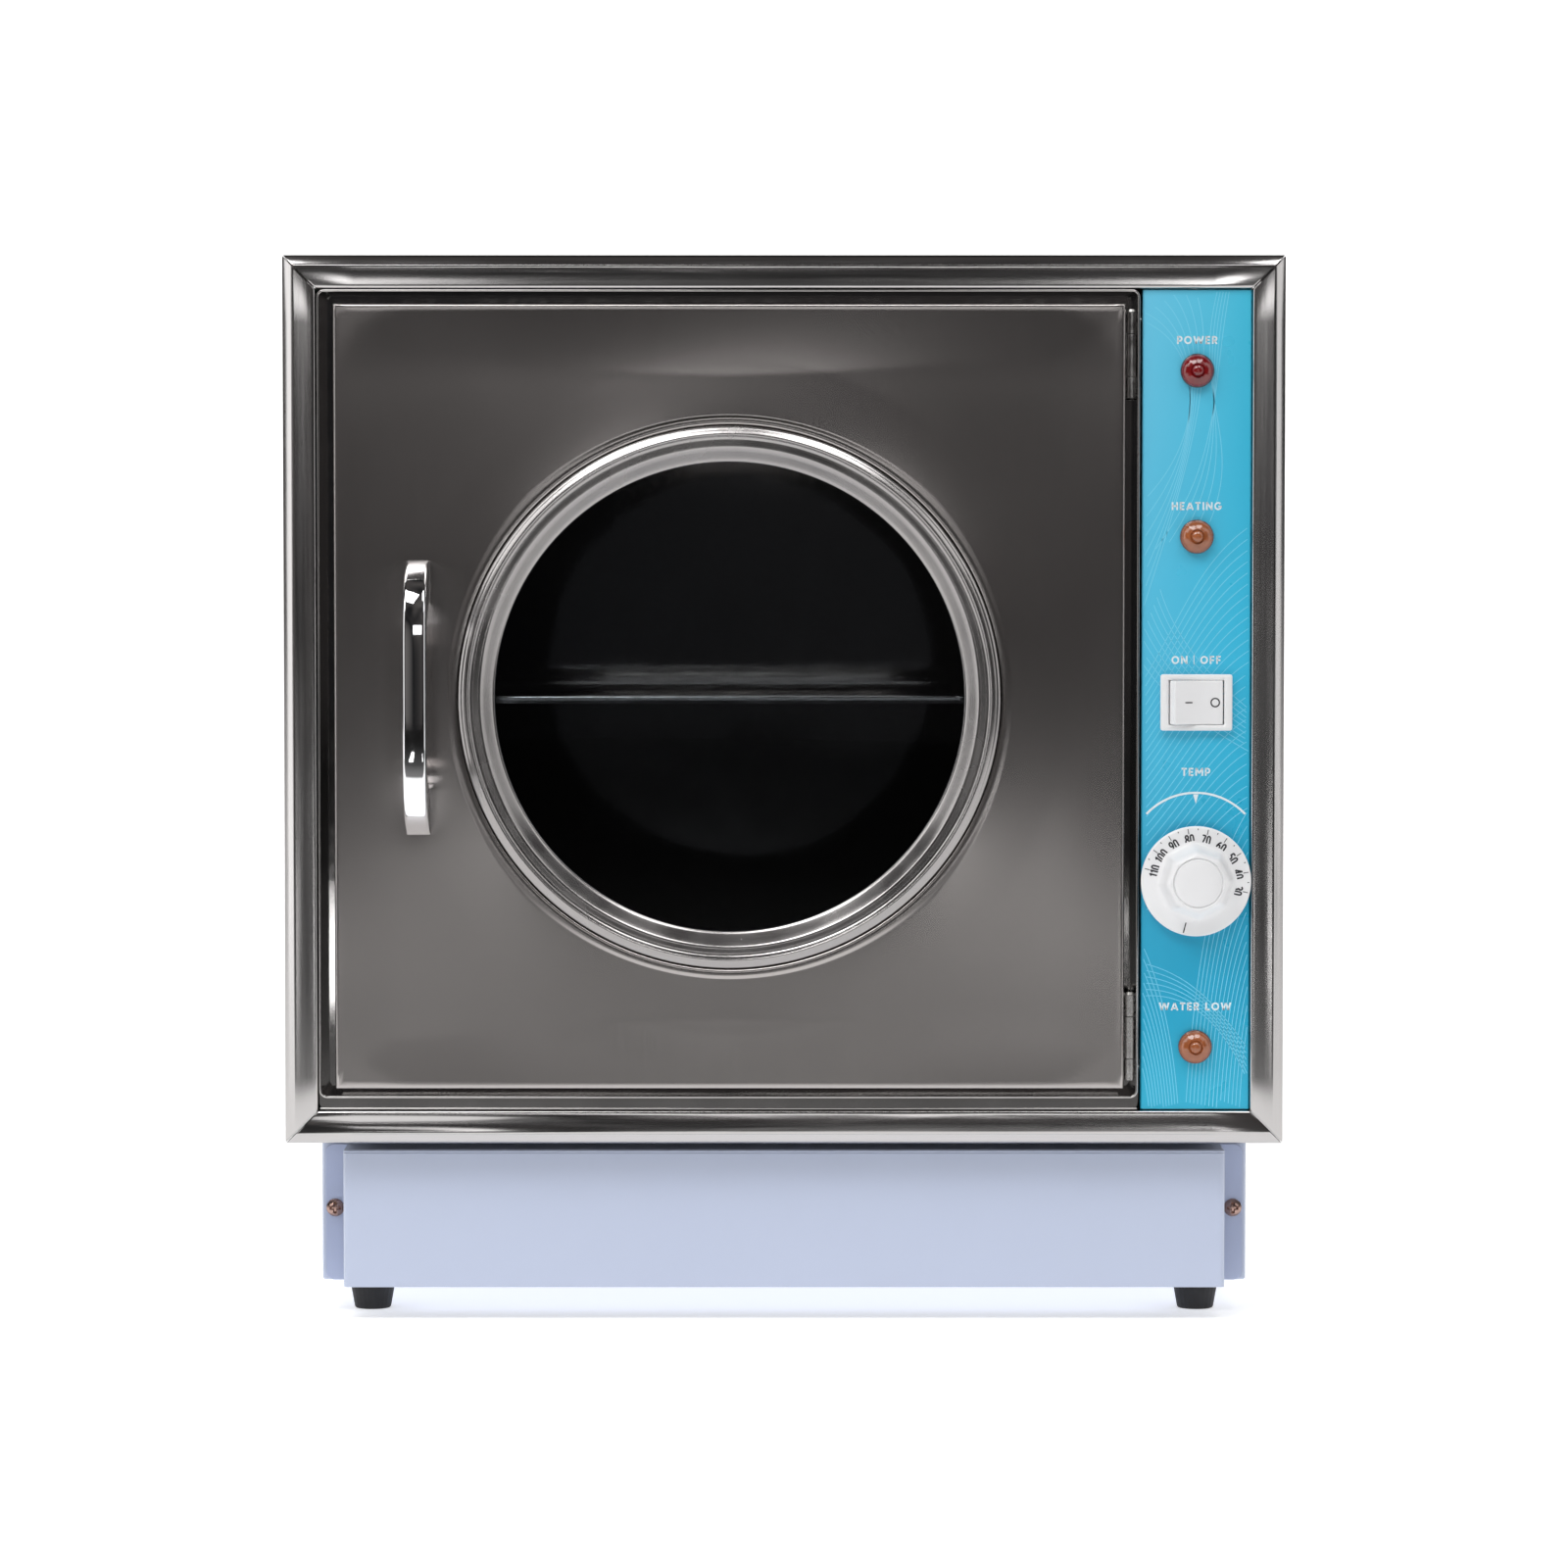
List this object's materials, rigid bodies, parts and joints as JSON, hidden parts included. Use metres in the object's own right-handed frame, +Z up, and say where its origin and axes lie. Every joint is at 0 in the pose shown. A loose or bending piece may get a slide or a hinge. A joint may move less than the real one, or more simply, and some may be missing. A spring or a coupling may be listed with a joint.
{
  "type": "hot towel cabinet",
  "caption": "Steam cabinet for warming rolled towels: inset door with a round window, towel shelf, heated water tank, control strip and drain tap, on feet.",
  "frame": {"origin": "centre of the bounding box at the plane that the feet stand on", "axes": "+Z up, -Y towards the user in front of the door, +X to the user's right, where the door is hinged"},
  "size_m": [0.446, 0.408, 0.477],
  "materials": {
    "brushed_steel": "vertical brushed grain, satin",
    "polished_steel": "polished, near mirror",
    "chrome": "mirror",
    "zinc_steel": "zinc plated, dull",
    "brass": "cast and turned",
    "copper": "copper, satin",
    "base_paint": "pale blue, semi-gloss",
    "panel_blue": "printed cyan overlay, satin",
    "white_plastic": "semi-gloss",
    "black_plastic": "matt",
    "rubber": "matt",
    "silicone": "silicone, satin",
    "insulation": "glass-fibre mat",
    "tinted_glass": "dark tinted, polished",
    "red_lens": "translucent red",
    "amber_lens": "translucent amber"
  },
  "bodies": {
    "cabinet": {"frame_rail_bottom": "polished_steel", "frame_rail_right": "polished_steel", "frame_rail_top": "polished_steel", "frame_rail_left": "polished_steel", "outer_case": "brushed_steel", "case_floor": "zinc_steel", "rear_panel": "brushed_steel", "base_box": "base_paint", "base_cover": "base_paint", "cover_screw_left": "copper", "cover_screw_right": "copper", "foot_front_left": "rubber", "foot_front_right": "rubber", "foot_rear_left": "rubber", "foot_rear_right": "rubber", "chamber_liner": "polished_steel", "water_tank": "polished_steel", "heating_element": "zinc_steel", "float_stem": "white_plastic", "shelf_rail_left": "polished_steel", "shelf_rail_right": "polished_steel", "insulation_blanket": "insulation", "catch_magnet": "black_plastic", "hinge_lower_frame_leaf": "polished_steel", "hinge_lower_pin": "zinc_steel", "hinge_upper_frame_leaf": "polished_steel", "hinge_upper_pin": "zinc_steel", "control_panel": "panel_blue", "water_lamp_lens": "amber_lens", "water_lamp_body": "white_plastic", "heating_lamp_lens": "amber_lens", "heating_lamp_body": "white_plastic", "power_lamp_lens": "red_lens", "power_lamp_body": "white_plastic", "switch_housing": "white_plastic", "thermostat_body": "black_plastic", "sensor_probe": "copper", "sensor_capillary": "copper", "mains_inlet": "black_plastic", "drain_pipe": "copper", "drain_tap_body": "brass"},
    "door": {"door_skin": "brushed_steel", "door_liner": "polished_steel", "door_insulation": "insulation", "window_glass": "tinted_glass", "window_gasket": "rubber", "window_retainer": "polished_steel", "door_seal": "silicone", "door_handle": "chrome", "handle_screw_lower": "zinc_steel", "handle_screw_upper": "zinc_steel", "hinge_lower_door_leaf": "polished_steel", "hinge_upper_door_leaf": "polished_steel"},
    "shelf": {"towel_shelf": "polished_steel"},
    "tray": {"floor_tray": "polished_steel"},
    "float": {"water_float": "white_plastic"},
    "rocker": {"switch_rocker": "white_plastic"},
    "knob": {"thermostat_spindle": "zinc_steel", "temperature_knob": "white_plastic"},
    "tap_lever": {"drain_tap_lever": "brass"}
  },
  "joints": [
    {"name": "door_hinge", "type": "hinge", "parent": "cabinet", "child": "door", "pos_m": [0.15435, -0.1725, 0.2805], "axis": [0, 0, 1], "range_deg": [0, 90]},
    {"name": "shelf_lift", "type": "slide", "parent": "cabinet", "child": "shelf", "axis": [0, 0, 1], "range_m": [0, 0.05]},
    {"name": "tray_lift", "type": "slide", "parent": "cabinet", "child": "tray", "axis": [0, 0, 1], "range_m": [0, 0.1]},
    {"name": "float_rise", "type": "slide", "parent": "cabinet", "child": "float", "axis": [0, 0, 1], "range_m": [0, 0.008]},
    {"name": "rocker_tilt", "type": "hinge", "parent": "cabinet", "child": "rocker", "pos_m": [0.1835, -0.173, 0.2783], "axis": [0, 0, -1], "range_deg": [0, 19]},
    {"name": "knob_turn", "type": "hinge", "parent": "cabinet", "child": "knob", "pos_m": [0.1835, -0.176, 0.1987], "axis": [0, -1, 0], "range_deg": [-76, 194]},
    {"name": "tap_turn", "type": "hinge", "parent": "cabinet", "child": "tap_lever", "pos_m": [-0.1, 0.187, 0.093], "axis": [0, 0, 1], "range_deg": [0, 90]}
  ]
}
